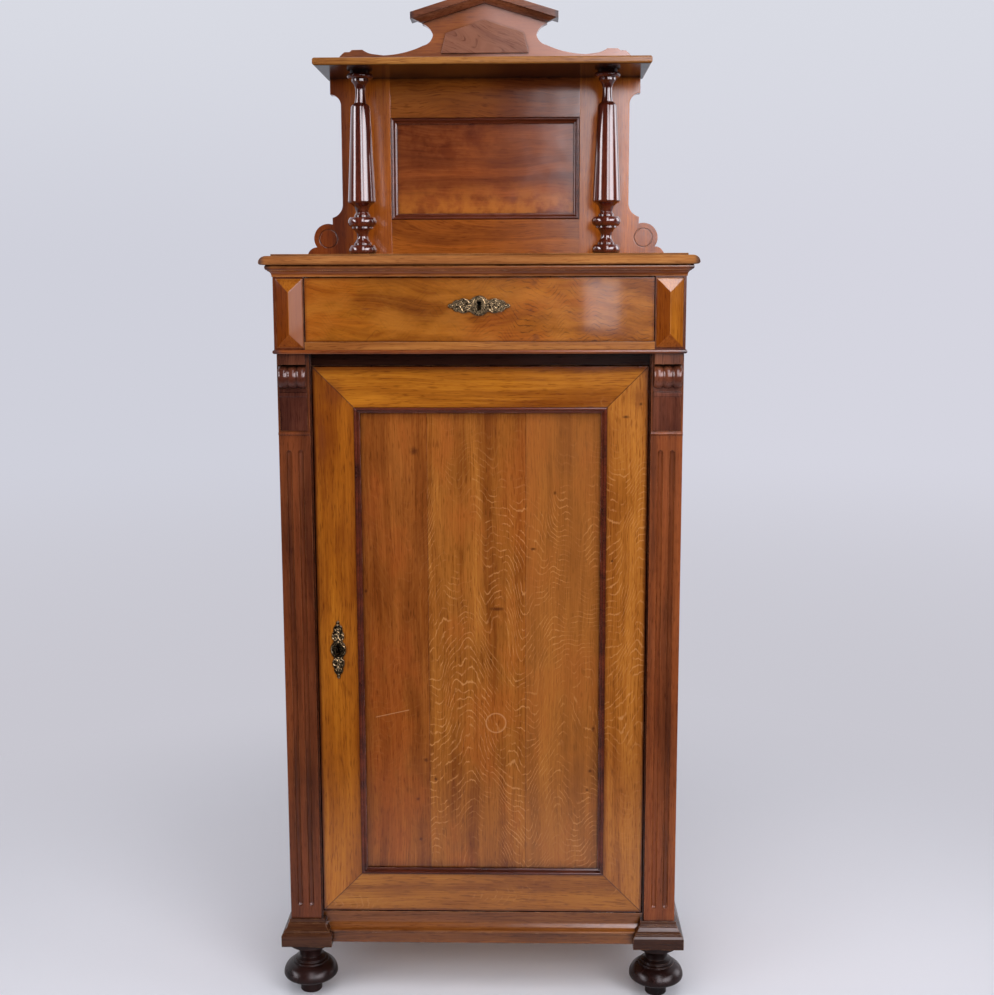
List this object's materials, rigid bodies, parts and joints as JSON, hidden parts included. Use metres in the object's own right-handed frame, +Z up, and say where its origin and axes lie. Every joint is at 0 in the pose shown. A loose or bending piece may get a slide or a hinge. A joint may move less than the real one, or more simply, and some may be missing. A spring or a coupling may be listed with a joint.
{
  "type": "wooden cabinet with drawer, door and gallery",
  "caption": "Tall narrow wooden cabinet on turned bun feet, with a drawer over a framed door between fluted pilasters, and a gallery with turned columns, a shelf and a gabled crest.",
  "frame": {"origin": "on the floor under the middle of the top board", "axes": "+Z up, the front with the door and drawer faces -Y, +X to the right as seen from the front"},
  "size_m": [0.7005, 0.4, 1.7488],
  "materials": {
    "honey_wood": "glossy shellac over honey-brown oak",
    "red_brown_wood": "glossy dark red-brown stain",
    "dark_wood": "glossy near-black brown stain",
    "pale_inner_wood": "bare softwood, unpolished",
    "aged_brass": "dark patina in the hollows, rubbed high spots",
    "brass_bolt": "worn bright brass",
    "iron": "dark oiled iron"
  },
  "bodies": {
    "case": {"apron_moulding": "red_brown_wood", "back_boards": "pale_inner_wood", "case_floor": "pale_inner_wood", "case_pivot_plates": "iron", "column_left": "red_brown_wood", "column_right": "red_brown_wood", "corbel_left": "red_brown_wood", "corbel_right": "red_brown_wood", "cornice_moulding": "red_brown_wood", "crest_board": "honey_wood", "crest_tablet": "red_brown_wood", "drawer_divider": "honey_wood", "drawer_rail": "honey_wood", "drawer_runners": "pale_inner_wood", "facet_blocks": "red_brown_wood", "foot_front_left": "dark_wood", "foot_front_right": "dark_wood", "foot_rear_left": "dark_wood", "foot_rear_right": "dark_wood", "front_post_left": "honey_wood", "front_post_right": "honey_wood", "gable_moulding": "red_brown_wood", "gallery_panel": "honey_wood", "gallery_panel_moulding": "honey_wood", "gallery_rails": "honey_wood", "gallery_shelf": "honey_wood", "gallery_stile_left": "honey_wood", "gallery_stile_right": "honey_wood", "pilaster_left": "red_brown_wood", "pilaster_right": "red_brown_wood", "plinth_block_left": "dark_wood", "plinth_block_right": "dark_wood", "plinth_rail": "dark_wood", "plinth_side_mouldings": "dark_wood", "rear_foot_blocks": "pale_inner_wood", "shelf_cleats": "pale_inner_wood", "shelf_lower": "pale_inner_wood", "shelf_upper": "pale_inner_wood", "side_frame_left": "honey_wood", "side_frame_right": "honey_wood", "top_board": "honey_wood", "top_rail": "honey_wood"},
    "door": {"door_stile_left": "honey_wood", "door_stile_right": "honey_wood", "door_rail_top": "honey_wood", "door_rail_bottom": "honey_wood", "door_panel": "honey_wood", "door_panel_moulding": "honey_wood", "door_escutcheon": "aged_brass", "door_lock_case": "iron", "door_pivot_plates": "iron"},
    "door_bolt": {"door_lock_bolt": "brass_bolt"},
    "drawer": {"drawer_front": "honey_wood", "drawer_side_left": "pale_inner_wood", "drawer_side_right": "pale_inner_wood", "drawer_back": "pale_inner_wood", "drawer_bottom": "pale_inner_wood", "drawer_escutcheon": "aged_brass", "drawer_lock_case": "iron"},
    "drawer_bolt": {"drawer_lock_bolt": "brass_bolt"}
  },
  "joints": [
    {"name": "door_swing", "type": "hinge", "parent": "case", "child": "door", "pos_m": [0.261, -0.144, 0.6255], "axis": [0, 0, 1], "range_deg": [0, 100]},
    {"name": "drawer_slide", "type": "slide", "parent": "case", "child": "drawer", "axis": [0, -1, 0], "range_m": [0, 0.25]},
    {"name": "door_bolt_slide", "type": "slide", "parent": "door", "child": "door_bolt", "axis": [-1, 0, 0], "range_m": [0, 0.009]},
    {"name": "drawer_bolt_slide", "type": "slide", "parent": "drawer", "child": "drawer_bolt", "axis": [0, 0, 1], "range_m": [0, 0.009]}
  ]
}
